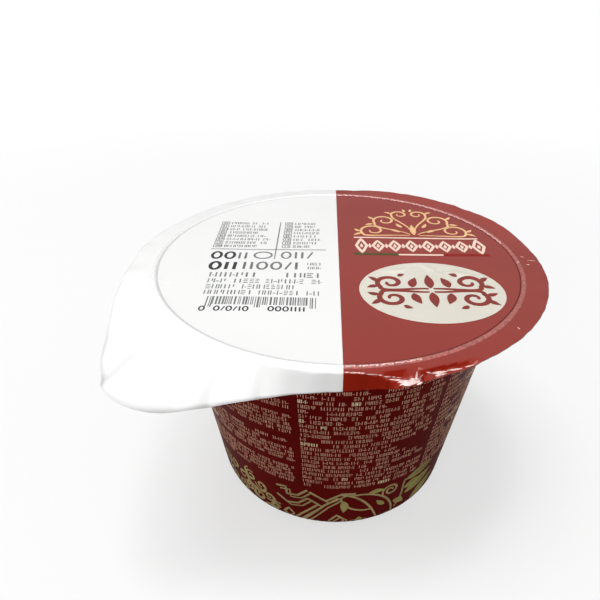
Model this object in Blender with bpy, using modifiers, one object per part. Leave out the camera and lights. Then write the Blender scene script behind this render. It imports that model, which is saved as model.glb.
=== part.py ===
"""Sealed burrata cup: a tapered round plastic cup closed by a heat-sealed film lid.

Units are metres, +Z is up. The origin is the centre of the flat underside, so the cup
stands on z = 0. The front, with the longest stretch of folded film, faces -Y.

The shut cup is one solid with whatever it holds. The lid is one thin film. It lies flat
on the flange, carries the raised ring of the heat seal, and overhangs the flange. At the
front it is folded down against the flange's rim, at the front left it ends in a pull tab
with a round corner that droops, and at the back right its edge lifts a little.
"""

from math import acos, atan2, cos, hypot, pi, radians, sin, sqrt, tan

import bmesh
import bpy

MM = 0.001

# Whole object
HEIGHT = 69.3 * MM              # underside of the cup to the top face of the film
SEGMENTS = 96                   # divisions round the cup and the film
GAP = 0.3 * MM                  # between the film and the cup

# Cup
FLANGE_RADIUS = 50.2 * MM
FLANGE_THICKNESS = 1.6 * MM
FLANGE_EDGE_ROUND = 0.6 * MM
WALL_TOP_RADIUS = 44.9 * MM     # wall's cone, carried up to the film's top face
WALL_BASE_RADIUS = 34.1 * MM    # wall's cone, carried down to the underside
NECK_ROUND = 1.2 * MM           # between the wall and the flange's underside
BOTTOM_ROUND = 6.6 * MM         # between the wall and the underside

# Film lid
FILM_THICKNESS = 0.4 * MM
FILM_RADIUS = 54.2 * MM         # round part of the flat outline
FRONT_REACH = 54.8 * MM         # straight front side of the flat outline
LEFT_REACH = 55.4 * MM          # straight left side of the flat outline
TAB_CORNER = 17.4 * MM          # between the two straight sides, at the pull tab
SEAL_INNER = 48.1 * MM
SEAL_OUTER = 49.5 * MM
SEAL_HEIGHT = 0.25 * MM
SEAL_SLOPE = 0.3 * MM
FOLD_ROUND = 1.0 * MM           # outer radius of a right-angled fold over the rim
FOLD_STEPS = 4

# How far the overhang is folded down, in degrees, by its direction seen from above
# (0 is +X, 90 is +Y). Between two stops the fold eases from one value to the next, and
# below zero the edge is lifted. The sudden drop right of the front is the pucker in it.
FOLD_STOPS = (
    (-180.0, 2.0),
    (-172.0, 2.0),
    (-142.0, 29.0),
    (-136.0, 24.0),
    (-87.0, 86.0),
    (-79.0, 24.0),
    (-60.0, 2.0),
    (5.0, 2.0),
    (28.0, -14.0),
    (64.0, -12.0),
    (88.0, 2.0),
    (180.0, 2.0),
)
FRONT_END = (-88.0, -72.0)      # directions over which the straight front meets the circle
LEFT_END = (180.0, 150.0)       # and those over which the straight left side does

COLLECTION_NAME = "burrata_cup"
CUP_COLOUR = (0.13, 0.018, 0.015, 1.0)
FILM_COLOUR = (0.48, 0.07, 0.05, 1.0)


def clear_scene():
    """Remove every object of the open scene."""
    for scene_object in list(bpy.data.objects):
        bpy.data.objects.remove(scene_object, do_unlink=True)


def make_collection(name):
    """Return a new collection that is linked to the scene."""
    collection = bpy.data.collections.new(name)
    bpy.context.scene.collection.children.link(collection)
    return collection


def make_material(name, colour, roughness):
    """Return a plastic material with a Principled shader."""
    material = bpy.data.materials.new(name)
    material.use_nodes = True
    shader = material.node_tree.nodes["Principled BSDF"]
    shader.inputs["Base Color"].default_value = colour
    shader.inputs["Roughness"].default_value = roughness
    shader.inputs["Metallic"].default_value = 0.0
    return material


def ease(share):
    """Smooth step from 0 to 1."""
    share = min(max(share, 0.0), 1.0)
    return share * share * (3.0 - 2.0 * share)


def rounded_corner(before, corner, after, radius, steps):
    """Arc that rounds the corner between two straight runs of a profile."""
    into = (before[0] - corner[0], before[1] - corner[1])
    out = (after[0] - corner[0], after[1] - corner[1])
    into = (into[0] / hypot(*into), into[1] / hypot(*into))
    out = (out[0] / hypot(*out), out[1] / hypot(*out))
    half_angle = acos(into[0] * out[0] + into[1] * out[1]) / 2.0
    middle = (into[0] + out[0], into[1] + out[1])
    reach = radius / sin(half_angle) / hypot(*middle)
    centre = (corner[0] + middle[0] * reach, corner[1] + middle[1] * reach)
    leg = radius / tan(half_angle)
    first = (corner[0] + into[0] * leg, corner[1] + into[1] * leg)
    last = (corner[0] + out[0] * leg, corner[1] + out[1] * leg)
    start = atan2(first[1] - centre[1], first[0] - centre[0])
    sweep = atan2(last[1] - centre[1], last[0] - centre[0]) - start
    sweep = (sweep + pi) % (2.0 * pi) - pi
    points = []
    for step in range(steps + 1):
        angle = start + sweep * step / steps
        points.append((centre[0] + radius * cos(angle), centre[1] + radius * sin(angle)))
    return points


def wall_radius(height):
    """Radius of the wall's cone at a height above the underside."""
    return WALL_BASE_RADIUS + (WALL_TOP_RADIUS - WALL_BASE_RADIUS) * height / HEIGHT


def cup_profile():
    """Outer side of the shut cup, from the centre of its top down to the centre below."""
    flange_top = HEIGHT - FILM_THICKNESS - GAP
    flange_under = flange_top - FLANGE_THICKNESS
    axis_top = (0.0, flange_top)
    upper_edge = (FLANGE_RADIUS, flange_top)
    lower_edge = (FLANGE_RADIUS, flange_under)
    neck = (wall_radius(flange_under), flange_under)
    base_edge = (WALL_BASE_RADIUS, 0.0)
    axis_base = (0.0, 0.0)
    profile = [axis_top]
    profile += rounded_corner(axis_top, upper_edge, lower_edge, FLANGE_EDGE_ROUND, 2)
    profile += rounded_corner(upper_edge, lower_edge, neck, FLANGE_EDGE_ROUND, 2)
    profile += rounded_corner(lower_edge, neck, base_edge, NECK_ROUND, 3)
    profile += rounded_corner(neck, base_edge, axis_base, BOTTOM_ROUND, 6)
    profile.append(axis_base)
    return profile


def make_cup(collection):
    """Turned solid of the shut cup: flange, tapered wall and round lower edge."""
    points = [(radius, 0.0, height) for radius, height in cup_profile()]
    edges = [(index, index + 1) for index in range(len(points) - 1)]
    mesh = bpy.data.meshes.new("cup")
    mesh.from_pydata(points, edges, [])
    cup = bpy.data.objects.new("cup", mesh)
    collection.objects.link(cup)
    turn = cup.modifiers.new("turn", "SCREW")
    turn.axis = "Z"
    turn.steps = SEGMENTS
    turn.render_steps = SEGMENTS
    turn.use_merge_vertices = True
    turn.merge_threshold = 0.00001
    turn.use_smooth_shade = True
    mesh.materials.append(make_material("printed_cup", CUP_COLOUR, 0.25))
    return cup


def fold_angle(direction):
    """Downward fold of the overhang in radians, for a direction in degrees."""
    for (start, start_fold), (end, end_fold) in zip(FOLD_STOPS, FOLD_STOPS[1:]):
        if direction <= end:
            share = ease((direction - start) / (end - start))
            break
    return radians(start_fold + (end_fold - start_fold) * share)


def tab_reach(direction):
    """Axis to outline in the front-left quarter: two straight sides and a round corner."""
    left = -cos(radians(direction))
    front = -sin(radians(direction))
    corner_left = LEFT_REACH - TAB_CORNER
    corner_front = FRONT_REACH - TAB_CORNER
    if left * FRONT_REACH <= front * corner_left:
        return FRONT_REACH / front
    if front * LEFT_REACH <= left * corner_front:
        return LEFT_REACH / left
    along = left * corner_left + front * corner_front
    return along + sqrt(along**2 - corner_left**2 - corner_front**2 + TAB_CORNER**2)


def film_reach(direction):
    """Distance from the axis to the film's flat outline, for a direction in degrees."""
    if -180.0 <= direction <= -90.0:
        return tab_reach(direction)
    front_share = ease((FRONT_END[1] - direction) / (FRONT_END[1] - FRONT_END[0]))
    left_share = ease((direction - LEFT_END[1]) / (LEFT_END[0] - LEFT_END[1]))
    front_extra = (FRONT_REACH - FILM_RADIUS) * front_share
    left_extra = (LEFT_REACH - FILM_RADIUS) * left_share
    return FILM_RADIUS + front_extra + left_extra


def film_profile(direction):
    """Top face of the film as (radius, height) points, from the seal ring outwards."""
    fold = fold_angle(direction)
    radius = FLANGE_RADIUS + GAP + FILM_THICKNESS - FOLD_ROUND
    height = HEIGHT
    points = [
        (SEAL_INNER, HEIGHT),
        (SEAL_INNER + SEAL_SLOPE, HEIGHT + SEAL_HEIGHT),
        (SEAL_OUTER - SEAL_SLOPE, HEIGHT + SEAL_HEIGHT),
        (SEAL_OUTER, HEIGHT),
        (radius, height),
    ]
    fold_length = FOLD_ROUND * radians(90.0)
    straight_length = film_reach(direction) - radius - fold_length
    runs = [(fold_length / FOLD_STEPS, fold * (step + 0.5) / FOLD_STEPS) for step in range(FOLD_STEPS)]
    runs.append((straight_length, fold))
    for length, heading in runs:
        radius += length * cos(heading)
        height -= length * sin(heading)
        points.append((radius, height))
    return points


def make_film(collection):
    """Film lid: its top face is lofted direction by direction, then given its thickness."""
    loft = bmesh.new()
    spokes = []
    for segment in range(SEGMENTS):
        direction = -180.0 + 360.0 * segment / SEGMENTS
        along_x = cos(radians(direction))
        along_y = sin(radians(direction))
        profile = film_profile(direction)
        spokes.append([loft.verts.new((r * along_x, r * along_y, z)) for r, z in profile])
    for spoke, following in zip(spokes, spokes[1:] + spokes[:1]):
        for index in range(len(spoke) - 1):
            loft.faces.new((spoke[index], spoke[index + 1], following[index + 1], following[index]))
    loft.faces.new([spoke[0] for spoke in spokes])
    mesh = bpy.data.meshes.new("lid_film")
    loft.to_mesh(mesh)
    loft.free()
    mesh.shade_smooth()
    film = bpy.data.objects.new("lid_film", mesh)
    collection.objects.link(film)
    thickness = film.modifiers.new("thickness", "SOLIDIFY")
    thickness.thickness = FILM_THICKNESS
    thickness.offset = -1.0
    thickness.use_even_offset = True
    mesh.materials.append(make_material("film_lid", FILM_COLOUR, 0.35))
    return film


def main():
    """Build the cup and its film lid."""
    clear_scene()
    collection = make_collection(COLLECTION_NAME)
    make_cup(collection)
    make_film(collection)


main()
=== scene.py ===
"""Looks of the sealed burrata cup: a printed tapered cup with a heat-sealed film lid."""

import random
from functools import partial
from math import atan2, cos, degrees, hypot, pi, radians, sin, sqrt, tan

import bmesh
import bpy
from mathutils import Matrix, Vector


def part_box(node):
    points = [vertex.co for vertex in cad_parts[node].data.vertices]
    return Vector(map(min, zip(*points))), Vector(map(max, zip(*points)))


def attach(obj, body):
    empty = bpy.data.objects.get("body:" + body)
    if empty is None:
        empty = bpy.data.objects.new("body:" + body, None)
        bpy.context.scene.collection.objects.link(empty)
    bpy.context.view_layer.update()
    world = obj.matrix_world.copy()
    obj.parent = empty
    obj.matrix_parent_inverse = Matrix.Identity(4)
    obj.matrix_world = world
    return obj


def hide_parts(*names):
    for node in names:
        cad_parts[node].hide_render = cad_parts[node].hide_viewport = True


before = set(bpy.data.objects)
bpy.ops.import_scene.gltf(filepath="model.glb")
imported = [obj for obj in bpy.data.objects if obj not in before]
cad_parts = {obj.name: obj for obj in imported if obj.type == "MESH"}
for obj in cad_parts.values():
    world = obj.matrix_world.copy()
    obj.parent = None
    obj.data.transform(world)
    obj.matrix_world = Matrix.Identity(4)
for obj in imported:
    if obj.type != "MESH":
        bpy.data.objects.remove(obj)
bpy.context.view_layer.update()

MM = 0.001

# --- Sizes, in millimetres; the flange's radius and top are read from the CAD cup ---
CUP_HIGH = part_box("cup")[1]
FLANGE_RADIUS = CUP_HIGH.x / MM
FLANGE_TOP = CUP_HIGH.z / MM
FILM_GAP = 0.3
CAD_FILM = 0.4
LID_TOP = FLANGE_TOP + FILM_GAP + CAD_FILM
FLANGE_THICKNESS = 1.6
FLANGE_EDGE_ROUND = 0.6
NECK_ROUND = 1.2
WALL_TOP_RADIUS = 44.9
WALL_BASE_RADIUS = 34.1
BOTTOM_ROUND = 6.6
BASE_RECESS = 0.8
PRINT_FOOT = 0.9                # the cup's side is printed above this height
CUP_STEPS = 288

FILM_THICKNESS = 0.22
FILM_RADIUS = 54.2
FRONT_REACH = 55.2
LEFT_REACH = 55.4
TAB_CORNER = 17.4
FRONT_END = (-88.0, -72.0)
LEFT_END = (180.0, 150.0)
SEAL_INNER = 48.1
SEAL_OUTER = 49.5
SEAL_HEIGHT = 0.38
SEAL_CUTS = 230                 # cross-cuts of the sealing tool round the ring
SEAL_CUT_DEPTH = 0.22           # as a share of the ring's height
FOLD_START = FLANGE_RADIUS + FILM_GAP + CAD_FILM - 1.0
NEAR_LENGTH = 0.9
CREASE_LENGTH = 0.4
STEEP = 0.6                     # red film that stands steeper than this takes a darker, less glossy copy of its red: painted shade
BORDER_X = 0.7                  # the film is red to the right of this line, white to the left

# Folds of the overhang by direction in degrees (0 is +X, 90 is +Y). Each row gives the
# downward heading near the rim, in the middle and at the edge, in degrees, and how far
# from the fold's start the two creases between them lie.
FOLD_ROWS = (
    (-180, 2, 2, 2, 1.6, 3),
    (-172, 2, 2, 2, 1.6, 3),
    (-142, 27, 29, 28, 1.8, 9),
    (-136, 24, 24, 22, 1.8, 9),
    (-112, 56, 56, 54, 1.6, 4),
    (-100, 74, 76, 75, 1.4, 3.6),
    (-92, 60, 84, 85, 0.5, 0.9),
    (-88.5, 6, 60, 88, 0.4, 0.7),
    (-84, 6, 60, 89, 0.6, 0.9),
    (-81.5, 30, 26, 89, 0.9, 1.4),
    (-79, 64, 22, 87, 1.9, 2.5),
    (-77.3, 68, 24, 66, 2.2, 3),
    (-76, 64, 28, 22, 2.1, 3.3),
    (-73.4, 42, 26, 30, 2, 3.1),
    (-72.4, 24, 32, 24, 1.4, 2.6),
    (-71.2, 10, 66, 60, 1.5, 3),
    (-69.4, 4, 74, 34, 1.6, 2.8),
    (-67.6, 3, 76, 20, 1.6, 2.6),
    (-64.6, 3, 76, 24, 1.9, 2.9),
    (-61, 2, 60, 20, 2.3, 3.4),
    (-57, 2, 2, 2, 2.4, 3.6),
    (5, 2, 2, 2, 2, 3.6),
    (28, -15, -15, -15, 2, 3.6),
    (64, -12, -12, -12, 2, 3.6),
    (88, 2, 2, 2, 1.8, 3.4),
    (180, 2, 2, 2, 1.6, 3),
)

# Print on the lid, in millimetres from the lid's middle
OVAL_CENTRE = (23.3, -17.2)
OVAL_HALF = (17.8, 15.0)
SCROLLS_FOOT = (23.4, 14.8)     # the foot of the scroll ornament's axis
SCROLLS_NARROWED = 0.92
INK = 0.03                      # how proud the print stands, and how deep it is bedded

# Print on the cup
PRINT_RADIUS = 39.5             # where a millimetre along the print is a true millimetre
COLUMNS = 7
COLUMN_START = -103.3           # direction of the plain bar left of the front column
TEXT_TOP = 63.6
TEXT_FOOT = 20.4
BAND_REPEATS = 3


# --- Small helpers ---
def ease(share):
    """Smooth step from 0 to 1."""
    share = min(max(share, 0.0), 1.0)
    return share * share * (3.0 - 2.0 * share)


def bump_at(value, centre, width):
    """Smooth hump of height 1 and the given half width."""
    return ease(1.0 - abs(value - centre) / width)


def link(scene_object):
    """Put a new object into the scene."""
    bpy.context.scene.collection.objects.link(scene_object)
    return scene_object


def mesh_object(name, points, faces, materials, sharp_angle=35.0):
    """Mesh object from points in millimetres, smooth but for its sharp edges."""
    mesh = bpy.data.meshes.new(name)
    mesh.from_pydata([(x * MM, y * MM, z * MM) for x, y, z in points], [], faces)
    mesh.update()
    tidy = bmesh.new()
    tidy.from_mesh(mesh)
    bmesh.ops.recalc_face_normals(tidy, faces=tidy.faces)
    tidy.to_mesh(mesh)
    tidy.free()
    for material in materials:
        mesh.materials.append(material)
    mesh.shade_smooth()
    mesh.set_sharp_from_angle(angle=radians(sharp_angle))
    return link(bpy.data.objects.new(name, mesh))


def tube_faces(first, loop, count, closed):
    """Faces of a tube of count loops of points; where closed, the last joins the first."""
    faces = []
    for index in range(count if closed else count - 1):
        here, there = first + index * loop, first + (index + 1) % count * loop
        for step in range(loop):
            following = (step + 1) % loop
            faces.append((here + step, here + following, there + following, there + step))
    return faces


def settle(piece, slot, *nodes):
    """Attach a finished piece to the frame."""
    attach(piece, "root")
    if nodes:
        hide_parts(*nodes)
    return piece


# --- Materials ---
class Nodes:
    """A node tree with short ways to add and link nodes."""

    def __init__(self, tree):
        self.tree = tree
        tree.nodes.clear()

    def add(self, kind, inputs=(), **settings):
        """Shader node of a kind, its inputs set to values or linked to sockets."""
        node = self.tree.nodes.new("ShaderNode" + kind)
        for name, value in settings.items():
            setattr(node, name, value)
        for key, value in dict(inputs).items():
            if isinstance(value, bpy.types.NodeSocket):
                self.tree.links.new(value, node.inputs[key])
            else:
                node.inputs[key].default_value = value
        return node

    def ramp(self, factor, stops):
        """Colour ramp from (position, colour) stops."""
        node = self.add("ValToRGB", {"Fac": factor})
        elements = node.color_ramp.elements
        while len(elements) < len(stops):
            elements.new(0.5)
        for element, (position, colour) in zip(elements, stops):
            element.position = position
            element.color = (*colour, 1.0)
        return node.outputs["Color"]

    def math(self, operation, first, second):
        """Result of arithmetic on two numbers."""
        return self.add("Math", {0: first, 1: second}, operation=operation).outputs["Value"]

    def scaled(self, value, low, high, start, end):
        """The value, carried over from low to high onto start to end, and held there."""
        return self.add("MapRange", {
            "Value": value, "From Min": low, "From Max": high, "To Min": start, "To Max": end,
        }).outputs["Result"]

    def white(self, kind, strength):
        """White emission or background."""
        return self.add(kind, {"Color": (1.0, 1.0, 1.0, 1.0), "Strength": strength}).outputs[0]

    def mix(self, factor, first, second):
        """Shader that goes from the first to the second as the factor rises."""
        return self.add("MixShader", {0: factor, 1: first, 2: second}).outputs["Shader"]


def grey(value):
    return (value, value, value)


def shade(colour, factor):
    """The colour, lighter or darker."""
    return tuple(channel * factor for channel in colour)


def plastic(name, colour, roughness, specular=0.5, variation=0.05, patch=0.02, grain=0.0,
            grain_size=0.0004, ribs=0.0, rib_pitch=0.0005, sheen=(1.0, 1.0, 1.0)):
    """Printed plastic: uneven colour and gloss, with fine grain or ribs where asked."""
    material = bpy.data.materials.new(name)
    material.use_nodes = True
    nodes = Nodes(material.node_tree)
    place = nodes.add("TexCoord").outputs["Object"]
    cloud = nodes.add("TexNoise", {"Vector": place, "Scale": 1.0 / patch, "Detail": 3.0})
    tint = nodes.ramp(cloud.outputs["Fac"], (
        (0.3, shade(colour, 1.0 - variation)),
        (0.7, shade(colour, 1.0 + variation)),
    ))
    gloss = nodes.ramp(cloud.outputs["Fac"], (
        (0.3, grey(roughness * 0.85)),
        (0.7, grey(roughness * 1.15)),
    ))
    shader = nodes.add("BsdfPrincipled", {
        "Base Color": tint,
        "Roughness": gloss,
        "Specular IOR Level": specular,
        "Specular Tint": (*sheen, 1.0),
    })
    normal = None
    if grain:
        fine = nodes.add("TexNoise", {
            "Vector": place, "Scale": 1.0 / grain_size, "Detail": 2.0,
        })
        normal = nodes.add("Bump", {
            "Height": fine.outputs["Fac"],
            "Strength": grain,
            "Distance": grain_size * 0.25,
        }).outputs["Normal"]
    if ribs:
        slant = (0.0, 0.0, radians(-38.0))
        turned = nodes.add("Mapping", {"Vector": place, "Rotation": slant})
        wave = nodes.add("TexWave", {
            "Vector": turned.outputs["Vector"],
            "Scale": 1.0 / rib_pitch / 3.18,
        })
        # The ribs also darken the colour in their troughs: painted shade.
        lines = nodes.add("Mix", {
            "Factor": wave.outputs["Fac"], "A": grey(0.9), "B": grey(1.0),
        }, data_type="VECTOR")
        rib_shaded_tint = nodes.add("VectorMath", {0: tint, 1: lines.outputs["Result"]},
                          operation="MULTIPLY")
        nodes.tree.links.new(rib_shaded_tint.outputs["Vector"], shader.inputs["Base Color"])
        settings = {
            "Height": wave.outputs["Fac"],
            "Strength": ribs,
            "Distance": rib_pitch * 0.3,
        }
        if normal:
            settings["Normal"] = normal
        normal = nodes.add("Bump", settings).outputs["Normal"]
    if normal:
        nodes.tree.links.new(normal, shader.inputs["Normal"])
    out = nodes.add("OutputMaterial", {"Surface": shader.outputs["BSDF"]})
    out.is_active_output = True
    return material


WARM_SHEEN = (1.0, 0.78, 0.66)
FILM_RED = plastic("film_red", (0.27, 0.027, 0.019), 0.2, specular=0.25, variation=0.04, patch=0.03,
                   grain=0.06, sheen=WARM_SHEEN)
# Darker, less glossy copy of the film's red for its steep faces: painted shade.
FILM_FOLD_SHADE = plastic("film_fold_shaded", (0.27, 0.014, 0.0055), 0.2, specular=0.12, variation=0.08, patch=0.01,
                    grain=0.06, sheen=WARM_SHEEN)
FILM_WHITE = plastic("film_white", (0.86, 0.86, 0.855), 0.25, specular=0.25, variation=0.01, patch=0.03,
                     grain=0.06)
EDGE_WHITE = plastic("edge_white", (0.78, 0.78, 0.78), 0.4, specular=0.25)
EDGE_RED = plastic("edge_red", (0.3, 0.2, 0.18), 0.5, variation=0.5, patch=0.004)
SEAL_RED = plastic("seal_red", (0.39, 0.103, 0.087), 0.22, variation=0.4, patch=0.0008, grain=0.8)
SEAL_WHITE = plastic("seal_white", (0.84, 0.84, 0.84), 0.3, variation=0.02, patch=0.001, grain=0.4)
# Pale pink for painted highlights on the fold and crumple, with some whitening where the film is
# stretched.
WHITENING_AND_HIGHLIGHT = plastic("film_whitening_and_highlight", (0.74, 0.50, 0.47), 0.22, variation=0.45, patch=0.0012, grain=0.6)
# Pale pink for painted highlights on the seal ring.
SEAL_HIGHLIGHT = plastic("seal_painted_highlight", (0.70, 0.42, 0.38), 0.22, variation=0.25, patch=0.001, grain=0.5)
# Dark colours for the line of painted shade inside the seal ring.
GROOVE_SHADE_RED = plastic("groove_shade_red", (0.09, 0.008, 0.006), 0.4, specular=0.1)
GROOVE_SHADE_WHITE = plastic("groove_shade_white", (0.62, 0.62, 0.62), 0.4, specular=0.1)
PEARL = plastic("pearl_ink", (0.81, 0.775, 0.675), 0.22, specular=0.4, variation=0.03, patch=0.012,
                ribs=0.6)
GOLD_INK = plastic("gold_ink", (0.80, 0.50, 0.24), 0.35, specular=0.3, variation=0.12, patch=0.004)
CREAM_INK = plastic("cream_ink", (0.90, 0.66, 0.55), 0.4, specular=0.3, variation=0.03, patch=0.004)
DEEP_RED_INK = plastic("deep_red_ink", (0.22, 0.027, 0.02), 0.4, specular=0.2, variation=0.15,
                       patch=0.003)
GREEN_INK = plastic("green_ink", (0.06, 0.055, 0.008), 0.4, specular=0.2, variation=0.1, patch=0.003)
BRIGHT_RED_INK = plastic("bright_red_ink", (0.25, 0.009, 0.005), 0.4, specular=0.1, variation=0.08,
                         patch=0.003)
GREY_INK = plastic("grey_ink", (0.17, 0.175, 0.17), 0.5, specular=0.2, variation=0.35, patch=0.004)
DARK_INK = plastic("dark_ink", (0.03, 0.03, 0.03), 0.5, specular=0.2, variation=0.3, patch=0.004)
CUP_PRINT = plastic("cup_maroon", (0.104, 0.0028, 0.0018), 0.24, specular=0.07, variation=0.1,
                    patch=0.02, grain=0.03)
CUP_WHITE = plastic("cup_white", (0.78, 0.77, 0.74), 0.4, variation=0.02, patch=0.01, grain=0.1)
TEXT_INK = plastic("text_ink", (0.57, 0.32, 0.22), 0.4, specular=0.04, variation=0.15, patch=0.004)
BOLD_INK = plastic("bold_ink", (0.72, 0.58, 0.36), 0.4, specular=0.15, variation=0.1, patch=0.003)
BAND_INK = plastic("band_ink", (0.35, 0.27, 0.125), 0.35, specular=0.06, variation=0.2, patch=0.006)
LEAF_INK = plastic("leaf_ink", (0.33, 0.29, 0.095), 0.35, specular=0.06, variation=0.2, patch=0.005)


# --- Cup ---
TAPER = atan2(WALL_TOP_RADIUS - WALL_BASE_RADIUS, LID_TOP)
BOTTOM_TURN = pi / 2.0 - TAPER
BOTTOM_LEG = BOTTOM_ROUND * tan(BOTTOM_TURN / 2.0)
ROUND_TOP = BOTTOM_LEG * cos(TAPER)


def wall_radius(height):
    """Radius of the wall's cone at a height above the underside."""
    return WALL_BASE_RADIUS + height * tan(TAPER)


def side_point(level):
    """Radius, height and outward normal of the cup's side.

    level is the height on the wall, and goes on below it round the bottom edge.
    """
    if level >= ROUND_TOP:
        return wall_radius(level), level, cos(TAPER), -sin(TAPER)
    centre_radius = wall_radius(ROUND_TOP) - BOTTOM_ROUND * cos(TAPER)
    centre_height = ROUND_TOP + BOTTOM_ROUND * sin(TAPER)
    turned = TAPER + (ROUND_TOP - level) / cos(TAPER) / BOTTOM_ROUND
    out, down = cos(turned), sin(turned)
    return centre_radius + BOTTOM_ROUND * out, centre_height - BOTTOM_ROUND * down, out, -down


def cup_outline():
    """(radius, height) points from the flange's top centre down to the underside's centre."""
    under = FLANGE_TOP - FLANGE_THICKNESS
    edge = FLANGE_RADIUS - FLANGE_EDGE_ROUND
    points = [(0.0, FLANGE_TOP), (20.0, FLANGE_TOP), (edge - 2.0, FLANGE_TOP)]
    for step in range(7):
        turn = pi / 2.0 * (1.0 - step / 6.0)
        points.append((edge + FLANGE_EDGE_ROUND * cos(turn),
                       FLANGE_TOP - FLANGE_EDGE_ROUND * (1.0 - sin(turn))))
    for step in range(7):
        turn = -pi / 2.0 * step / 6.0
        points.append((edge + FLANGE_EDGE_ROUND * cos(turn),
                       under + FLANGE_EDGE_ROUND * (1.0 + sin(turn))))
    neck_radius = wall_radius(under)
    for step in range(7):
        turn = pi / 2.0 * step / 6.0
        points.append((neck_radius + NECK_ROUND * (1.0 - sin(turn)),
                       under - NECK_ROUND * (1.0 - cos(turn))))
    levels = 26
    wall_top = under - NECK_ROUND * 1.4
    for step in range(levels + 1):
        level = wall_top + (ROUND_TOP - wall_top) * step / levels
        points.append((wall_radius(level), level))
    arc = BOTTOM_TURN * BOTTOM_ROUND * cos(TAPER)
    for step in range(1, 15):
        radius, height, _, _ = side_point(ROUND_TOP - arc * step / 14)
        points.append((radius, height))
    foot = points[-1][0]
    points += [(foot - 2.0, 0.0), (foot - 2.6, 0.1), (foot - 3.6, BASE_RECESS * 0.8),
               (foot - 4.6, BASE_RECESS), (12.0, BASE_RECESS), (0.0, BASE_RECESS)]
    return points


def make_cup():
    """Turned cup with a white flange and underside and a printed side."""
    outline = cup_outline()
    mesh = bpy.data.meshes.new("cup_body")
    edges = [(index, index + 1) for index in range(len(outline) - 1)]
    mesh.from_pydata([(r * MM, 0.0, z * MM) for r, z in outline], edges, [])
    source = link(bpy.data.objects.new("cup_profile", mesh))
    turn = source.modifiers.new("turn", "SCREW")
    turn.steps = CUP_STEPS
    turn.render_steps = CUP_STEPS
    turn.use_merge_vertices = True
    turn.merge_threshold = 0.000005
    evaluated = source.evaluated_get(bpy.context.evaluated_depsgraph_get())
    body_mesh = bpy.data.meshes.new_from_object(evaluated)
    bpy.data.objects.remove(source)
    cup = link(bpy.data.objects.new("cup_body", body_mesh))
    body_mesh.materials.clear()
    body_mesh.materials.append(CUP_PRINT)
    body_mesh.materials.append(CUP_WHITE)
    print_top = FLANGE_TOP - FLANGE_THICKNESS - NECK_ROUND
    for polygon in body_mesh.polygons:
        polygon.material_index = 0 if PRINT_FOOT < polygon.center.z / MM < print_top else 1
        polygon.use_smooth = True
    body_mesh.set_sharp_from_angle(angle=radians(35.0))
    return settle(cup, "printed_cup", "cup")


# --- Film lid ---
def ripple(direction, seed, pitch):
    """Smooth uneven wave round the film, between about -1 and 1; it closes on itself."""
    waves = random.Random(seed)
    total = 0.0
    turns = max(int(360.0 / pitch), 2)
    for share in (0.6, 0.85, 1.0, 1.4):
        count = max(int(turns * share), 1)
        total += sin(radians(direction) * count + waves.uniform(0.0, 2.0 * pi)) * 0.4
    return total


def lid_height(x, y):
    """Height of the film's top face inside the seal ring: slack film with a few soft creases."""
    inward = ease((SEAL_INNER - hypot(x, y)) / 9.0)
    slack = sin(x * 0.085 + 0.6) * sin(y * 0.071 - 0.4) + 0.6 * sin(x * 0.13 - y * 0.1 + 1.9)
    height = LID_TOP + inward * (0.07 * slack - 0.1)
    for at_x, at_y, turn, length, width, lift in LID_CREASES:
        along = (x - at_x) * cos(turn) + (y - at_y) * sin(turn)
        across = (y - at_y) * cos(turn) - (x - at_x) * sin(turn)
        height += lift * bump_at(along, 0.0, length) * bump_at(across, 0.0, width)
    return height


LID_CREASES = (
    (20.0, -6.2, radians(35.0), 5.0, 1.8, -0.4),
    (24.5, -5.6, radians(-50.0), 4.4, 1.6, 0.3),
    (16.0, -6.8, radians(8.0), 6.0, 1.5, 0.3),
    (27.5, -6.4, radians(15.0), 4.0, 1.4, -0.24),
    (33.0, -9.0, radians(-25.0), 7.0, 2.2, 0.3),
    (8.5, -12.0, radians(70.0), 5.0, 1.8, 0.07),
)


def tab_reach(direction):
    """Axis to outline in the front-left quarter: two straight sides and a round corner."""
    left = -cos(radians(direction))
    front = -sin(radians(direction))
    corner_left = LEFT_REACH - TAB_CORNER
    corner_front = FRONT_REACH - TAB_CORNER
    if left * FRONT_REACH <= front * corner_left:
        return FRONT_REACH / front
    if front * LEFT_REACH <= left * corner_front:
        return LEFT_REACH / left
    along = left * corner_left + front * corner_front
    return along + sqrt(along**2 - corner_left**2 - corner_front**2 + TAB_CORNER**2)


def film_reach(direction):
    """Distance from the axis to the film's flat outline, with its uneven cut."""
    if -180.0 <= direction <= -90.0:
        return tab_reach(direction)
    front_share = ease((FRONT_END[1] - direction) / (FRONT_END[1] - FRONT_END[0]))
    left_share = ease((direction - LEFT_END[1]) / (LEFT_END[0] - LEFT_END[1]))
    reach = FILM_RADIUS + (FRONT_REACH - FILM_RADIUS) * front_share
    reach += (LEFT_REACH - FILM_RADIUS) * left_share + 0.6 * bump_at(direction, 0.0, 50.0)
    notch = 0.45 * bump_at(direction, 82.5, 4.0)
    scallop = 0.35 * bump_at(direction, 66.0, 5.0) + 0.3 * bump_at(direction, 40.0, 4.0)
    return reach - notch - scallop + 0.06 * ripple(direction, 5, 5.0) * (1.0 - front_share)


def fold_row(direction):
    """Headings and creases of the overhang in one direction, eased between the rows."""
    for start, end in zip(FOLD_ROWS, FOLD_ROWS[1:]):
        if direction <= end[0]:
            break
    share = ease((direction - start[0]) / (end[0] - start[0]))
    return [a + (b - a) * share for a, b in zip(start[1:], end[1:])]


def overhang_marks(direction):
    """Distances from the fold's start at which the overhang has its points."""
    length = film_reach(direction) - FOLD_START
    marks = [0.0, 0.25, 0.5, 0.75, 1.0, 1.3, 1.6, 1.9, 2.2, 2.6, 3.0, 3.4]
    rest = length - marks[-1]
    return marks + [marks[-1] + rest * (step + 1) / 7.0 for step in range(7)]


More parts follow.
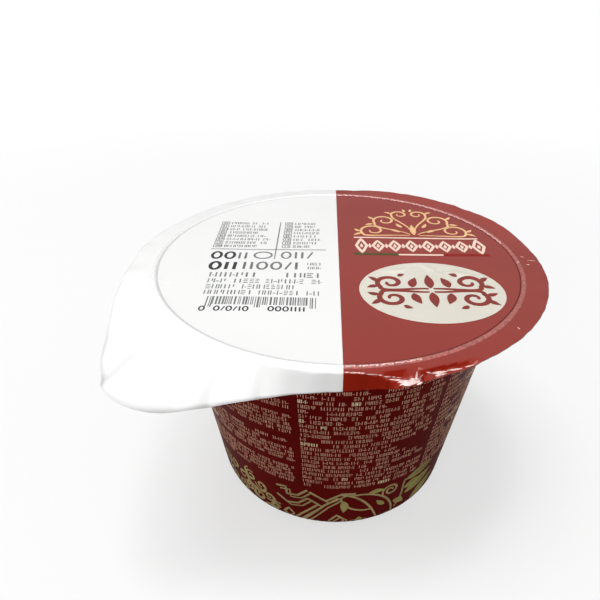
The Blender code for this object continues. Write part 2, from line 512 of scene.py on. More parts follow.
def overhang_heading(direction, distance):
    """Downward slope of the overhang, in degrees, at a distance from the fold's start."""
    near, middle, edge, first, second = fold_row(direction)
    wave = 1.2 * ripple(direction, 11, 11.0)
    wave += 8.0 * ripple(direction, 12, 4.6) * bump_at(direction, -71.0, 8.0)
    for crease in (-118.0, -107.5):
        wave += 3.0 * bump_at(direction, crease, 1.6) - 1.5 * bump_at(direction, crease - 3.0, 3.2)
    heading = near * ease(distance / NEAR_LENGTH) + wave * ease(distance / 1.5)
    heading += (middle - near) * ease((distance - first) / CREASE_LENGTH)
    return heading + (edge - middle) * ease((distance - second) / CREASE_LENGTH)


def film_overhang(direction):
    """Top face of the film past the seal ring as (radius, height) points."""
    radius, height = FOLD_START, LID_TOP
    points = [(radius, height)]
    marks = overhang_marks(direction)
    for start, end in zip(marks, marks[1:]):
        heading = radians(overhang_heading(direction, (start + end) / 2.0))
        radius += (end - start) * cos(heading)
        height -= (end - start) * sin(heading)
        points.append((radius, height))
    return points


def on_overhang(direction, distance, lift):
    """Point above the overhanging film, by direction and distance from the fold's start."""
    marks = overhang_marks(direction)
    points = film_overhang(direction)
    index = 0
    while index < len(marks) - 2 and marks[index + 1] < distance:
        index += 1
    share = (distance - marks[index]) / (marks[index + 1] - marks[index])
    run = points[index + 1][0] - points[index][0]
    drop = points[index + 1][1] - points[index][1]
    size = hypot(run, drop)
    radius = points[index][0] + run * share - drop / size * lift * 1.5
    height = points[index][1] + drop * share + run / size * lift * 1.5
    return (radius * cos(radians(direction)), radius * sin(radians(direction)), height)


def film_directions():
    """Directions of the film's spokes, close together where it is folded and puckered."""
    directions = []
    direction = -180.0
    while direction < 180.0 - 0.01:
        directions.append(direction)
        fine = -102.0 <= direction < -54.0
        direction += 0.25 if fine else 0.75
    return directions


def make_film():
    """Film lid as one thin sheet, red and white, with a pale cut edge."""
    directions = film_directions()
    rings = [2.0 + (SEAL_INNER - 2.0) * step / 59 for step in range(60)] + [SEAL_OUTER]
    points = []
    for direction in directions:
        out_x, out_y = cos(radians(direction)), sin(radians(direction))
        for ring in rings:
            points.append((ring * out_x, ring * out_y, lid_height(ring * out_x, ring * out_y)))
        for radius, height in film_overhang(direction):
            points.append((radius * out_x, radius * out_y, height))
    spoke = len(points) // len(directions)
    faces = [tuple(range(0, len(points), spoke))]
    for index in range(len(directions)):
        here, there = index * spoke, (index + 1) % len(directions) * spoke
        for step in range(spoke - 1):
            faces.append((here + step, here + step + 1, there + step + 1, there + step))
    materials = (FILM_WHITE, FILM_RED, EDGE_WHITE, EDGE_RED, FILM_FOLD_SHADE)
    film = mesh_object("film_lid", points, faces, materials, 50.0)
    colour_sides(film.data)
    # Steep red faces take the darker copy of the red: painted shade on the fold.
    for polygon in film.data.polygons:
        if polygon.normal.z < STEEP and polygon.material_index == 1:
            polygon.material_index = 4
    sheet = film.modifiers.new("thickness", "SOLIDIFY")
    sheet.thickness = FILM_THICKNESS * MM
    sheet.offset = -1.0
    sheet.material_offset_rim = 2
    return settle(film, "film_lid", "lid_film")


def colour_sides(mesh):
    """Cut the mesh along the border and give each side its material."""
    split = bmesh.new()
    split.from_mesh(mesh)
    geometry = list(split.verts) + list(split.edges) + list(split.faces)
    bmesh.ops.bisect_plane(split, geom=geometry, dist=1e-7, plane_co=(BORDER_X * MM, 0.0, 0.0),
                           plane_no=(1.0, 0.0, 0.0))
    for face in split.faces:
        face.material_index = 1 if face.calc_center_median().x > BORDER_X * MM else 0
    split.to_mesh(mesh)
    split.free()


def make_seal_ring():
    """Raised ring of the heat seal, with the fine cross-cut of the sealing tool and painted highlights
    along its front and back.
    """
    spokes = 1440
    section = 10
    middle = (SEAL_INNER + SEAL_OUTER) / 2.0
    half = (SEAL_OUTER - SEAL_INNER) / 2.0
    points = []
    for index in range(spokes):
        turn = 2.0 * pi * index / spokes
        for step in range(section + 1):
            across = 2.0 * step / section - 1.0
            crown = SEAL_HEIGHT * (1.0 - abs(across) ** 3.0)
            knurl = sin(SEAL_CUTS * turn + 3.0 * across) * sin(SEAL_CUTS * turn - 3.0 * across)
            lift = crown * (1.0 + SEAL_CUT_DEPTH * knurl) - 0.02
            radius = middle + half * across
            points.append((radius * cos(turn), radius * sin(turn), LID_TOP + lift))
        for radius in (SEAL_OUTER, SEAL_INNER):
            points.append((radius * cos(turn), radius * sin(turn), LID_TOP - 0.15))
    faces = tube_faces(0, section + 3, spokes, True)
    ring = mesh_object("seal_ring", points, faces, (SEAL_WHITE, SEAL_RED, SEAL_HIGHLIGHT), 70.0)
    colour_sides(ring.data)
    # Broken pale pink bands along the ring's front and back are painted highlights of the bead.
    for polygon in ring.data.polygons:
        x, y = polygon.center.x / MM, polygon.center.y / MM
        direction = degrees(atan2(y, x))
        across = hypot(x, y) - middle + 0.12 * ripple(direction, 33, 2.2)
        front = -89.0 < direction < -70.0 and (-0.05 < across < 0.3 or -0.6 < across < -0.48)
        back = 12.0 < direction < 89.0 and -0.62 < across < -0.35
        if (front or back) and ripple(direction, 31, 2.4) + ripple(direction, 32, 0.9) > -0.9:
            polygon.material_index = 2
    return settle(ring, "film_lid")


# --- Print: thin closed plates bedded in the surface ---
def on_lid(x, y, lift):
    """Point above the lid's film, lift millimetres proud of it."""
    return (x, y, lid_height(x, y) + lift)


def on_cup(along, level, lift):
    """Point above the cup's side; along is measured from the front (-Y) to the right."""
    radius, height, out, up = side_point(level)
    turn = along / PRINT_RADIUS - pi / 2.0
    radius += lift * out
    return (radius * cos(turn), radius * sin(turn), height + lift * up)


class Print:
    """Printed shapes on one surface, gathered into one mesh."""

    def __init__(self, surface):
        self.surface = surface
        self.points = []
        self.faces = []

    def strip(self, left, right, closed=False):
        """Plate between two lines of points that run side by side."""
        first = len(self.points)
        for (left_u, left_v), (right_u, right_v) in zip(left, right):
            for u, v, lift in ((left_u, left_v, INK), (right_u, right_v, INK),
                               (right_u, right_v, -INK), (left_u, left_v, -INK)):
                self.points.append(self.surface(u, v, lift))
        self.faces += tube_faces(first, 4, len(left), closed)
        if not closed:
            self.faces.append((first, first + 1, first + 2, first + 3))
            last = first + (len(left) - 1) * 4
            self.faces.append((last, last + 3, last + 2, last + 1))

    def bar(self, u0, v0, u1, v1, steps=1):
        """Rectangle, in pieces along u where the surface is curved."""
        marks = [u0 + (u1 - u0) * step / steps for step in range(steps + 1)]
        self.strip([(u, v1) for u in marks], [(u, v0) for u in marks])

    def ribbon(self, path, width, taper=0.0, closed=False):
        """Line of even width, or one that thins towards its ends."""
        path = refined(path, closed)
        left, right = [], []
        count = len(path)
        for index, (u, v) in enumerate(path):
            before = path[index - 1] if index or closed else path[0]
            after = path[(index + 1) % count] if closed or index < count - 1 else path[-1]
            run_u, run_v = after[0] - before[0], after[1] - before[1]
            size = hypot(run_u, run_v) or 1.0
            share = index / (count - 1)
            half = width / 2.0 * (1.0 - taper * abs(2.0 * share - 1.0) ** 2)
            left.append((u - run_v / size * half, v + run_u / size * half))
            right.append((u + run_v / size * half, v - run_u / size * half))
        self.strip(left, right, closed)

    def leaf(self, base, tip, width, bow=0.0, steps=9):
        """Pointed leaf from base to tip, bowed to its left."""
        run_u, run_v = tip[0] - base[0], tip[1] - base[1]
        size = hypot(run_u, run_v)
        side_u, side_v = -run_v / size, run_u / size
        left, right = [], []
        for step in range(steps):
            share = 0.02 + 0.96 * step / (steps - 1)
            half = width / 2.0 * sin(pi * share ** 0.8)
            middle = bow * sin(pi * share)
            centre_u, centre_v = base[0] + run_u * share, base[1] + run_v * share
            left.append((centre_u + side_u * (middle + half), centre_v + side_v * (middle + half)))
            right.append((centre_u + side_u * (middle - half), centre_v + side_v * (middle - half)))
        self.strip(left, right)

    def ellipse(self, centre, half_u, half_v, rings=10, spokes=96):
        """Filled ellipse that follows the surface."""
        first = len(self.points)
        for ring in range(1, rings + 1):
            for spoke in range(spokes):
                turn = 2.0 * pi * spoke / spokes
                u = centre[0] + half_u * ring / rings * cos(turn)
                v = centre[1] + half_v * ring / rings * sin(turn)
                self.points.append(self.surface(u, v, INK))
        self.faces.append(tuple(range(first, first + spokes)))
        for ring in range(rings - 1):
            for spoke in range(spokes):
                here = first + ring * spokes + spoke
                there = first + ring * spokes + (spoke + 1) % spokes
                self.faces.append((here, here + spokes, there + spokes, there))
        under = len(self.points)
        rim = first + (rings - 1) * spokes
        for spoke in range(spokes):
            turn = 2.0 * pi * spoke / spokes
            u, v = centre[0] + half_u * cos(turn), centre[1] + half_v * sin(turn)
            self.points.append(self.surface(u, v, -INK))
        for spoke in range(spokes):
            following = (spoke + 1) % spokes
            self.faces.append((rim + spoke, under + spoke, under + following, rim + following))
        self.faces.append(tuple(range(under + spokes - 1, under - 1, -1)))

    def finish(self, name, material, slot="film_lid"):
        """Make the piece."""
        return settle(mesh_object(name, self.points, self.faces, (material,)), slot)


def refined(path, closed=False, longest=1.3):
    """The path with its long stretches cut up, so that it follows a curved surface."""
    points = []
    ends = path[1:] + path[:1] if closed else path[1:]
    for start, end in zip(path, ends):
        pieces = int(hypot(end[0] - start[0], end[1] - start[1]) / longest) + 1
        for step in range(pieces):
            share = step / pieces
            points.append((start[0] + (end[0] - start[0]) * share,
                           start[1] + (end[1] - start[1]) * share))
    return points if closed else points + [path[-1]]


def curve(start, bend_a, bend_b, end, steps=14):
    """Points of a cubic curve."""
    points = []
    for step in range(steps + 1):
        t = step / steps
        a, b, c, d = (1 - t) ** 3, 3 * t * (1 - t) ** 2, 3 * t * t * (1 - t), t ** 3
        points.append((a * start[0] + b * bend_a[0] + c * bend_b[0] + d * end[0],
                       a * start[1] + b * bend_a[1] + c * bend_b[1] + d * end[1]))
    return points


def spiral(centre, radius, start, turns, steps=30):
    """Points of a curl that winds inwards from its start direction, in degrees."""
    points = []
    for step in range(steps + 1):
        share = step / steps
        turn = radians(start) + 2.0 * pi * turns * share
        size = radius * (1.0 - 0.78 * share)
        points.append((centre[0] + size * cos(turn), centre[1] + size * sin(turn)))
    return points


def mirrored(path):
    """The path, mirrored left to right."""
    return [(-u, v) for u, v in path]


def small_print(target, bold, rng, left, right, foot, height, pitch, pen, gap_chance, bold_chance=0.0):
    """One row of marks that stand for small print: bars, blocks and dashes, nothing to read."""
    at = left
    while at < right - height:
        letters = rng.randint(2, 9)
        into = bold if bold and rng.random() < bold_chance else target
        thick = pen * (1.5 if into is bold else 1.0)
        for _ in range(letters):
            width = height * rng.uniform(0.42, 0.74)
            if at + width > right:
                return
            mark(into, rng, at, foot, width, height, thick)
            at += width + pitch
        at += height * (rng.uniform(0.5, 0.9) if rng.random() > gap_chance else rng.uniform(1.2, 3.4))


def mark(target, rng, left, foot, width, height, pen):
    """One mark of the small print."""
    kind = rng.random()
    top = foot + height
    if kind < 0.45:
        target.bar(left, foot, left + pen, top)
        target.bar(left + width - pen, foot + height * rng.choice((0.0, 0.0, 0.4)), left + width, top)
    elif kind < 0.7:
        for share in (0.0, 0.42, 0.84):
            level = foot + (height - pen) * share / 0.84
            target.bar(left, level, left + width * rng.uniform(0.7, 1.0), level + pen)
    elif kind < 0.88:
        target.bar(left, foot, left + pen, top)
        target.bar(left + pen * 2.0, foot + height * 0.3, left + width, foot + height * 0.3 + pen)
    else:
        target.bar(left + width * 0.3, foot, left + width * 0.3 + pen * 1.2, top)


# --- Print on the lid's red half ---
def make_groove_shade():
    """Thin dark line of painted shade along the inner side of the seal ring, where the crease shadows
    the film.
    """
    for name, material, first, last in (
        ("seal_groove_shade_red", GROOVE_SHADE_RED, -89.2, 89.2),
        ("seal_groove_shade_white", GROOVE_SHADE_WHITE, 90.8, 269.2),
    ):
        groove = Print(on_lid)
        path = []
        for step in range(241):
            turn = radians(first + (last - first) * step / 240)
            path.append(((SEAL_INNER - 0.05) * cos(turn), (SEAL_INNER - 0.05) * sin(turn)))
        groove.ribbon(path, 0.32)
        groove.finish(name, material)


def make_fold_whitening_and_highlights():
    """Pale streaks over the fold and the crumple: painted highlights, with some whitening where the film
    is stretched.
    """
    pale_streaks = Print(on_overhang)
    rng = random.Random(3)
    direction = -89.0
    while direction < -77.0:
        span = rng.uniform(0.6, 3.2)
        middle = direction + span / 2.0
        share = (middle + 89.0) / 12.0
        distance = 0.62 + 1.5 * share ** 1.6
        pale_streaks.leaf((direction, distance), (direction + span, distance + 0.12 * span * share),
                  rng.uniform(0.12, 0.3))
        direction += span + rng.uniform(-0.3, 0.3)
    for start, end, width in (
        ((-79.0, 2.4), (-75.4, 3.0), 0.35), ((-77.2, 3.2), (-73.6, 3.3), 0.6),
        ((-76.0, 4.1), (-73.4, 3.9), 0.5), ((-74.6, 2.9), (-71.8, 3.4), 0.4),
        ((-73.3, 3.4), (-72.5, 1.6), 0.4), ((-73.6, 4.3), (-71.4, 3.9), 0.4),
        ((-76.9, 3.9), (-75.9, 3.5), 0.3), ((-76.8, 3.7), (-71.9, 3.7), 0.95),
        ((-72.6, 3.0), (-71.2, 2.7), 0.2), ((-69.6, 3.0), (-65.4, 3.5), 0.6),
        ((-68.8, 3.7), (-65.8, 3.9), 0.4), ((-65.6, 3.3), (-62.0, 3.9), 0.4),
        ((-70.6, 2.4), (-69.2, 3.1), 0.3), ((-61.4, 3.8), (-59.4, 4.0), 0.25),
    ):
        pale_streaks.leaf(start, end, width)
    pale_streaks.finish("film_whitening_and_highlight", WHITENING_AND_HIGHLIGHT)


def make_nicks_and_crease_glint():
    """Short pale scuffs on the film beside the seal ring, and a painted highlight along a small radial
    crease.
    """
    pale_marks = Print(on_flat)
    # The long thin mark at (52.7, -0.1) is a painted highlight on a radial crease; the others are
    # scuffs.
    for u, v, turn, length, width in (
        (50.9, 1.9, 150.0, 0.9, 0.22), (51.1, -2.7, 175.0, 0.8, 0.25), (48.6, -2.0, 160.0, 0.7, 0.3),
        (52.7, -0.1, 174.0, 2.2, 0.14), (39.8, -33.6, 120.0, 0.8, 0.2),
    ):
        along_u, along_v = length / 2.0 * cos(radians(turn)), length / 2.0 * sin(radians(turn))
        pale_marks.leaf((u - along_u, v - along_v), (u + along_u, v + along_v), width)
    pale_marks.finish("film_nicks_and_crease_glint", CREAM_INK)


def on_flat(x, y, lift):
    """Point above the film past the seal ring, where it lies almost level."""
    past = max(hypot(x, y) - FOLD_START - 0.4, 0.0)
    bead = SEAL_HEIGHT if SEAL_INNER < hypot(x, y) < SEAL_OUTER else 0.0
    return (x, y, LID_TOP - past * sin(radians(2.0)) + bead + lift * 2.0)


def on_scrolls(u, v, lift):
    """Point above the film, by its place from the foot of the scroll ornament's axis."""
    return on_lid(SCROLLS_FOOT[0] + u * SCROLLS_NARROWED, SCROLLS_FOOT[1] + v, lift)


def make_lid_scrolls():
    """Gold ornament of scrolls: three pairs of curled stems with leaf tips."""
    gold = Print(on_scrolls)
    for start, bend_a, bend_b, begin, curl, radius, turns in (
        ((1.6, 0.6), (7.0, 1.2), (16.5, -0.6), -40.0, (13.0, 4.0), 4.3, 1.15),
        ((1.2, 1.4), (4.5, 5.0), (13.5, 5.5), -30.0, (8.6, 11.6), 4.0, 1.2),
        ((0.5, 2.6), (0.6, 9.0), (6.2, 12.2), -20.0, (3.0, 16.6), 3.0, 1.15),
    ):
        winding = spiral(curl, radius, begin, turns)
        path = curve(start, bend_a, bend_b, winding[0])[:-1] + winding
        gold.ribbon(path, 0.8, 0.55)
        gold.ribbon(mirrored(path)[::-1], 0.8, 0.55)
    for base, tip, width, bow in (
        ((16.9, 2.2), (19.6, 0.4), 1.1, 0.2), ((17.1, 3.4), (19.2, 5.2), 1.1, -0.2),
        ((12.6, 9.0), (15.4, 8.2), 1.1, 0.2), ((12.2, 12.8), (14.0, 15.0), 1.1, -0.2),
        ((5.9, 17.4), (8.2, 18.6), 1.0, 0.2), ((0.9, 18.9), (1.4, 21.2), 1.0, 0.0),
        ((4.4, 2.9), (7.8, 4.9), 1.3, 0.3), ((3.2, 6.4), (5.0, 9.6), 1.2, -0.3),
    ):
        gold.leaf(base, tip, width, bow)
        gold.leaf(*mirrored((base, tip)), width, -bow)
    gold.leaf((0.0, 1.0), (0.0, 8.6), 1.9)
    gold.finish("lid_scrolls", GOLD_INK)


def make_lid_garland():
    """Cream line with a row of cream lozenges under it, and a line in three colours."""
    cream = Print(on_lid)
    cream.bar(5.4, 13.3, 41.4, 14.0, 16)
    left, right, middle, count = 7.4, 40.6, 8.2, 8
    pitch = (right - left) / (count - 1)
    for index in range(count):
        at = left + pitch * index
        tall = 4.6 if index in (0, count - 1) else 3.4
        cream.ribbon([(at - 1.5, middle), (at, middle + tall), (at + 1.5, middle), (at, middle - tall)],
                     0.85, closed=True)
        cream.leaf((at, middle - 1.3), (at, middle + 1.3), 0.9)
        if index < count - 1:
            cream.leaf((at + pitch / 2.0, middle - 1.5), (at + pitch / 2.0, middle + 1.5), 0.9)
    third = (42.0 - 5.1) / 3.0
    cream.bar(5.1 + third, 2.3, 5.1 + 2.0 * third, 3.1, 6)
    cream.finish("lid_garland", CREAM_INK)
    green = Print(on_lid)
    green.bar(5.1, 2.2, 5.1 + third, 3.5, 6)
    green.finish("lid_line_green", GREEN_INK)
    red = Print(on_lid)
    red.bar(5.1 + 2.0 * third, 2.1, 42.4, 3.5, 6)
    red.finish("lid_line_red", BRIGHT_RED_INK)


def make_lid_oval():
    """Pearly oval with an even ornament of four scrolls and small leaves."""
    pearl = Print(on_lid)
    pearl.ellipse(OVAL_CENTRE, OVAL_HALF[0], OVAL_HALF[1], rings=32, spokes=180)
    pearl.finish("lid_oval", PEARL)
    drawing = Print(on_oval)
    for side, rise in ((1.0, 1.0), (-1.0, 1.0), (1.0, -1.0), (-1.0, -1.0)):
        curl = spiral((9.8, 3.9), 3.5, -40.0, 1.15)
        path = curve((0.6, 0.8), (5.0, 1.2), (12.8, -1.4), curl[0])[:-1] + curl
        drawing.ribbon([(side * u, rise * v) for u, v in path], 1.35, 0.5)
        for base, tip, width, bow in (
            ((4.6, 1.4), (3.2, 6.6), 2.3, -0.3), ((13.0, 4.4), (15.2, 6.8), 1.5, 0.2),
            ((12.9, 2.2), (15.9, 1.2), 1.5, 0.2), ((7.6, 7.2), (5.6, 8.6), 1.4, -0.2),
        ):
            drawing.leaf((side * base[0], rise * base[1]), (side * tip[0], rise * tip[1]), width,
                         bow * side * rise)
        if side > 0.0:
            drawing.leaf((0.0, rise * 1.0), (0.0, rise * 8.2), 2.4)
    drawing.finish("lid_oval_drawing", DEEP_RED_INK)


def on_oval(u, v, lift):
    """Point above the printed oval, by its place from the oval's centre."""
    return on_lid(OVAL_CENTRE[0] + u, OVAL_CENTRE[1] + v, 2.0 * INK + lift)


# --- Print on the lid's white half ---
def oval_path(centre, half_u, half_v, steps):
    """Points of a closed oval."""
    turns = [2.0 * pi * step / steps for step in range(steps)]
    return [(centre[0] + half_u * cos(turn), centre[1] + half_v * sin(turn)) for turn in turns]


def numeral_row(target, rng, left, right, foot, height, pen):
    """Row of rings, uprights and slashes that stands for a row of figures."""
    at = left
    while at + height * 0.3 < right:
        kind = rng.random()
        width = height * 0.62
        if kind < 0.55 and at + width < right:
            centre = (at + width / 2.0, foot + height / 2.0)
            target.ribbon(oval_path(centre, width / 2.0, height / 2.0, 24), pen, closed=True)
            at += width + height * 0.3
        elif kind < 0.85:
            target.bar(at, foot, at + pen, foot + height)
            at += pen + height * 0.3
        else:
            target.ribbon([(at, foot), (at + height * 0.35, foot + height)], pen * 0.8)
            at += height * 0.62


def make_lid_table():
    """Grey table, rows of marks and bars, with nothing to read."""
    soft, dark = Print(on_lid), Print(on_lid)
    rng = random.Random(21)
    left, middle, right = -35.0, -16.9, -2.8
    for row in range(8):
        foot = 22.7 - row * 2.35
        for edge, end in ((left, middle - 1.0), (middle + 1.6, right)):
            box = [(edge, foot - 0.1), (edge + 2.2, foot - 0.1),
                   (edge + 2.2, foot + 1.7), (edge, foot + 1.7)]
            soft.ribbon(box, 0.26, closed=True)
            small_print(soft, None, rng, edge + 0.5, edge + 2.6, foot + 0.3, 1.0, 0.15, 0.24, 0.0)
            end -= rng.uniform(0.0, 4.0)
            small_print(soft, None, rng, edge + 3.0, end, foot, 1.5, 0.2, 0.26, 0.0)
    soft.bar(middle - 0.15, -1.0, middle + 0.15, 24.6)
    soft.bar(left - 0.4, 4.7, right, 5.05, 4)
    numeral_row(dark, rng, -34.3, -27.0, -1.0, 4.0, 0.8)
    numeral_row(soft, rng, -27.0, -23.4, -1.0, 3.8, 0.6)
    soft.ribbon(oval_path((-20.2, 1.2), 2.4, 2.0, 32), 0.6, closed=True)
    numeral_row(soft, rng, -15.0, -5.4, -0.6, 3.9, 0.6)
    numeral_row(dark, rng, -33.8, -25.4, -7.4, 4.2, 0.95)
    numeral_row(soft, rng, -25.0, -9.6, -7.2, 4.1, 0.7)
    for start, end, foot, height, pen in (
        (-7.8, -3.0, -4.6, 1.4, 0.24), (-7.8, -3.6, -6.9, 1.4, 0.24),
        (-33.1, -3.5, -11.6, 2.4, 0.42), (-33.0, -3.8, -14.8, 2.1, 0.3),
        (-33.0, -7.5, -17.8, 2.1, 0.3), (-32.9, -4.2, -20.6, 2.0, 0.3),
    ):
        small_print(soft, None, rng, start, end, foot, height, height * 0.14, pen, 0.1)
    for start, end, foot in ((-31.6, -30.2, -26.6), (-30.0, -20.2, -25.4), (-19.8, -18.4, -26.6),
                             (-18.0, -7.0, -25.4), (-6.6, -5.2, -26.6)):
        at = start
        while at < end:
            width = rng.choice((0.2, 0.2, 0.32, 0.45))
            soft.bar(at, foot, at + width, -21.7)
            at += width + rng.choice((0.22, 0.22, 0.36, 0.5))
    numeral_row(dark, rng, -32.6, -31.0, -28.3, 1.9, 0.4)
    numeral_row(dark, rng, -29.1, -20.0, -28.2, 1.9, 0.4)
    numeral_row(dark, rng, -16.3, -7.4, -28.0, 1.9, 0.4)
    soft.finish("lid_table", GREY_INK)
    dark.finish("lid_figures", DARK_INK)


# --- Print round the cup ---
def make_cup_text():
    """Columns of small print between plain bars, some of them in paragraphs."""
    plain, bold = Print(on_cup), Print(on_cup)
    rng = random.Random(7)
    column_width = 2.0 * pi * PRINT_RADIUS / COLUMNS
    start = radians(COLUMN_START + 90.0) * PRINT_RADIUS
    for column in range(COLUMNS):
        left = start + column * column_width + 0.8
        right = left + column_width - 1.6
        paragraphs = column in (2, 4, 6)
        gaps = (49.1, 39.5, 28.9) if paragraphs else ()
        row_pitch = 1.46 if paragraphs else 1.72
        height = 1.08 if paragraphs else 1.16
        foot = TEXT_TOP
        while foot > TEXT_FOOT:
            near_gap = [gap for gap in gaps if abs(foot + height / 2.0 - gap) < 1.3]
            if near_gap:
                foot = near_gap[0] - 0.85 - height
                continue
            end = right - (rng.uniform(2.0, 12.0) if rng.random() < 0.08 else 0.0)
            small_print(plain, bold, rng, left, end, foot, height, 0.17, 0.165,
                        0.05 if paragraphs else 0.2, 0.03)
            foot -= row_pitch
    plain.finish("cup_small_print", TEXT_INK, "printed_cup")
    bold.finish("cup_bold_print", BOLD_INK, "printed_cup")


ANGLES = (
    ((-17, 17.2), (-13.9, 17.9), (-13.8, 14.6), (-10.4, 15.2), (-7.4, 18.4)),
    ((-17.2, 13), (-14, 10.6), (-10.4, 11.4), (-7.4, 14.6)),
    ((-6.8, 17.8), (-2, 14.4), (2.6, 17.8), (6.6, 17.6)),
    ((-7.4, 14.6), (-4.2, 12.4), (-9.6, 6.4), (-15.6, -1.4)),
    ((1.6, 15.8), (-2.4, 12.2), (-7.8, 5.2), (-13.4, -2.6)),
    ((-0.9, -3.2), (-0.9, 4.6), (1.4, 7.4), (3.5, 5.6), (3.5, -3.2)),
)
DIAMONDS = ((-13.8, 5.4, 1.7, 2.2), (1.3, 0.6, 1.2, 2.4), (-4.6, 1.2, 1.5, 2.4))
CURLS = (
    (-39.6, 12.6, 2.6, 20), (-35.2, 14.2, 2.4, 140), (-31, 12, 2.6, 260),
    (-27, 14.6, 2.3, 60), (-23.2, 12.6, 2.4, 180), (-37.2, 7.6, 2.6, 80),
    (-32.8, 7, 2.4, 200), (-28.6, 8.4, 2.4, 320), (-24.4, 7.6, 2.5, 110),
    (-20.6, 9.2, 2, 230), (-34.8, 2.4, 2.3, 300), (-30.2, 2.6, 2.3, 45),
    (-26, 2.4, 2.3, 165), (-21.6, 3.4, 2.3, 285), (-18.4, 5.6, 1.6, 10),
)
STEMS = (
    ((1.4, 17.2), (7.6, 17.8), (12.6, 10.4), (15.2, 1.6)),
    ((6.2, 16.8), (13.6, 17.6), (20.6, 11), (19.8, 1.6)),
    ((2.4, 15.6), (3.2, 11), (7.6, 8.4), (12.6, 9)),
    ((22.4, 18.2), (21.4, 14.8), (23.8, 10.8), (20.6, 6)),
    ((15.4, 1.8), (18.2, 4.6), (22.6, 4.8), (27, 2.4)),
)
VINE_LEAVES = (
    ((3.2, 14.4), (3.4, 8.6), 2.5, 0.3), ((10.4, 16.9), (15.6, 17.0), 1.9, 0.3),
    ((19.6, 9.6), (24.2, 6.6), 2.6, 0.4), ((16.6, 9.4), (13.4, 12.6), 1.7, 0.2),
    ((17.6, 4.4), (21.8, 1.0), 2.0, -0.3),
)
POINTED_LEAVES = (
    ((22.4, 17.6), (33.8, 19.4), 1.0), ((23.6, 10.6), (34.4, 15.4), 1.2),
    ((27.4, 5.2), (37.8, 11.2), 1.2), ((30.6, 0.4), (39.6, 5.0), 1.1),
    ((22.8, 13.6), (28.8, 15.2), 0.8),
)
FLOWER = (8.6, 2.4)


def double_line(target, path, width, shift):
    """The path and a thinner echo beside it."""
    target.ribbon(path, width)
    target.ribbon([(u + shift, v - shift * 0.8) for u, v in path], width * 0.7)


def on_repeat(start, along, level, lift):
    """Point above the cup's side, measured along from one repeat's start."""
    return on_cup(start + along, level, lift)


def make_cup_band():
    """Ornament between the small print and the underside, repeated round the cup."""
    lines, leaves = Print(on_cup), Print(on_cup)
    repeat = 2.0 * pi * PRINT_RADIUS / BAND_REPEATS
    for index in range(BAND_REPEATS):
        lines.surface = leaves.surface = partial(on_repeat, index * repeat)
        for path in ANGLES:
            double_line(lines, path, 0.75, 1.2)
        for u, v, half_u, half_v in DIAMONDS:
            lines.ribbon([(u - half_u, v), (u, v + half_v), (u + half_u, v), (u, v - half_v)], 0.7,
                         closed=True)
        for u, v, size, begin in CURLS:
            lines.ribbon(spiral((u, v), size, begin, 1.3, 26), 0.75, 0.3)
            lines.ribbon(spiral((u, v), size + 1.2, begin + 40.0, 0.5, 14), 0.7, 0.3)
        for path in STEMS:
            lines.ribbon(curve(*path, 24), 0.75, 0.35)
        lines.ribbon(spiral((17.6, 15.8), 2.7, 215.0, -1.6, 40), 0.75, 0.3)
        for base, tip, width, bow in VINE_LEAVES:
            leaves.leaf(base, tip, width, bow)
        for base, tip, side in POINTED_LEAVES:
            leaves.leaf(base, tip, 1.9 * side, side)
            leaves.leaf(base, tip, 1.5 * side, -side)
        inner = oval_path(FLOWER, 0.8, 0.8, 12)
        outer = oval_path(FLOWER, 3.2, 3.6, 12)
        for step in range(1, 12, 2):
            leaves.leaf(inner[step], outer[step], 2.3)
    lines.finish("cup_band_lines", BAND_INK, "printed_cup")
    leaves.finish("cup_band_leaves", LEAF_INK, "printed_cup")


# --- Stage, lamps and camera ---
CAMERA_PITCH = 30.79
CAMERA_YAW = -2.507
CAMERA_ROLL = -0.398
CAMERA_PLACE = (-3.88, -139.8, LID_TOP + 69.7)
CAMERA_LENS = 34.0
ROOM_LIGHT = 0.35
FADE_FROM, FADE_TO = 0.12, 0.45         # metres from the axis between which the floor turns white
FLOOR_COLOUR = 0.9
FRONT_BOUNCE, BACK_BOUNCE = 0.08, 0.6   # floor colour that lights the cup in front and behind
LOW_MIRRORED, HIGH_MIRRORED = 0.25, 1.25


def make_camera():
    """Camera close to the cup, looking down on the lid from the front."""
    pitch, yaw, roll = radians(CAMERA_PITCH), radians(CAMERA_YAW), radians(CAMERA_ROLL)
    ahead = Vector((sin(yaw) * cos(pitch), cos(yaw) * cos(pitch), -sin(pitch)))
    level = Vector((cos(yaw), -sin(yaw), 0.0))
    above = level.cross(ahead)
    right = cos(roll) * level + sin(roll) * above
    up = -sin(roll) * level + cos(roll) * above
    data = bpy.data.cameras.new("camera")
    data.lens = CAMERA_LENS
    data.sensor_width = 36.0
    data.clip_start = 0.005
    camera = link(bpy.data.objects.new("camera", data))
    turn = Matrix((right, up, -ahead)).transposed().to_4x4()
    camera.matrix_world = Matrix.Translation(Vector(CAMERA_PLACE) * MM) @ turn
    bpy.context.scene.camera = camera


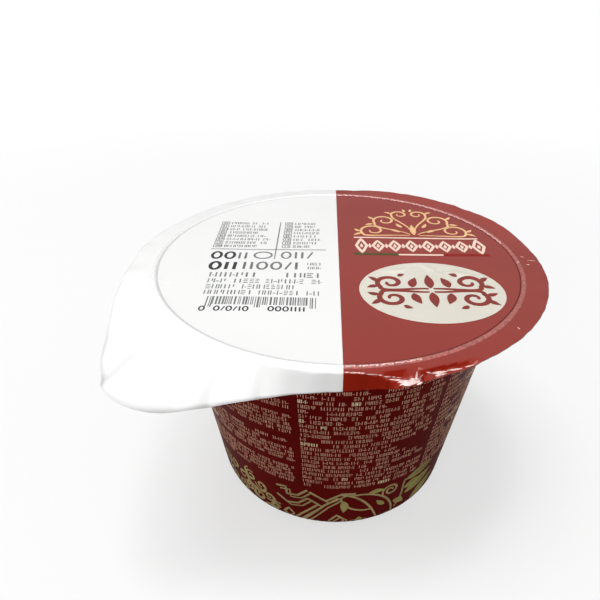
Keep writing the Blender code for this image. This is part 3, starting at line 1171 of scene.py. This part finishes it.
def make_floor():
    """Pale floor that keeps the object's shadow and fades into the white of the room."""
    bpy.ops.mesh.primitive_plane_add(size=8.0, location=(0.0, 0.0, 0.0))
    floor = bpy.context.object
    floor.name = "floor"
    material = bpy.data.materials.new("floor")
    material.use_nodes = True
    nodes = Nodes(material.node_tree)
    path = nodes.add("LightPath")
    place = nodes.add("TexCoord").outputs["Object"]
    distance = nodes.add("VectorMath", {0: place}, operation="LENGTH").outputs["Value"]
    far = nodes.scaled(distance, FADE_FROM, FADE_TO, 0.6, 1.0)
    seen = nodes.math("MULTIPLY", far, path.outputs["Is Camera Ray"])
    depth = nodes.add("SeparateXYZ", {"Vector": place}).outputs["Y"]
    bounce = nodes.scaled(depth, -0.06, 0.05, FRONT_BOUNCE, BACK_BOUNCE)
    level = nodes.math("MAXIMUM", path.outputs["Is Camera Ray"], bounce)
    shown = nodes.math("MULTIPLY", level, FLOOR_COLOUR)
    diffuse = nodes.add("BsdfDiffuse", {"Color": shown}).outputs["BSDF"]
    surface = nodes.mix(seen, diffuse, nodes.white("Emission", 1.0))
    nodes.add("OutputMaterial", {"Surface": surface})
    floor.data.materials.append(material)


def make_world():
    """Soft room light; the camera sees it white, mirrored rays see it paler higher up."""
    world = bpy.data.worlds.new("room")
    bpy.context.scene.world = world
    world.use_nodes = True
    nodes = Nodes(world.node_tree)
    path = nodes.add("LightPath")
    reflected = nodes.math("MAXIMUM", path.outputs["Is Glossy Ray"], path.outputs["Is Transmission Ray"])
    place = nodes.add("TexCoord").outputs["Generated"]
    rise = nodes.add("SeparateXYZ", {"Vector": place}).outputs["Z"]
    level = nodes.scaled(rise, 0.25, 0.65, LOW_MIRRORED, HIGH_MIRRORED)
    room = nodes.white("Background", ROOM_LIGHT)
    pale = nodes.white("Background", level)
    unseen = nodes.mix(reflected, room, pale)
    seen = nodes.white("Background", 1.0)
    surface = nodes.mix(path.outputs["Is Camera Ray"], unseen, seen)
    nodes.add("OutputWorld", {"Surface": surface})


def make_lamp(name, place, target, size, power):
    """White rectangular softbox, aimed at a point."""
    data = bpy.data.lights.new(name, "AREA")
    data.shape = "RECTANGLE"
    data.size, data.size_y = size
    data.energy = power
    lamp = link(bpy.data.objects.new(name, data))
    lamp.location = place
    lamp.rotation_euler = (Vector(target) - Vector(place)).to_track_quat("-Z", "Y").to_euler()
    lamp.visible_camera = False


def make_lights():
    """Two firm softboxes overhead and large soft ones in front and at the sides."""
    middle = (0.0, 0.0, 0.04)
    make_lamp("top_softbox", (-0.2, -0.1, 1.0), middle, (0.4, 0.4), 3.8)
    make_lamp("top_spark", (0.0, -0.05, 1.0), middle, (0.16, 0.16), 1.8)
    make_lamp("front_softbox", (-0.3, -1.2, 0.35), middle, (1.1, 0.8), 8.4)
    make_lamp("right_softbox", (1.1, 0.0, 0.4), middle, (0.8, 0.8), 1.0)
    make_lamp("left_softbox", (-1.1, 0.1, 0.45), middle, (0.9, 0.9), 2.6)


def main():
    """Build the cup, its film lid and all the print, then the stage."""
    make_cup()
    make_film()
    make_seal_ring()
    make_groove_shade()
    make_fold_whitening_and_highlights()
    make_nicks_and_crease_glint()
    make_lid_oval()
    make_lid_scrolls()
    make_lid_garland()
    make_lid_table()
    make_cup_text()
    make_cup_band()
    make_camera()
    make_floor()
    make_world()
    make_lights()
    bpy.context.scene.view_settings.view_transform = "Standard"


main()
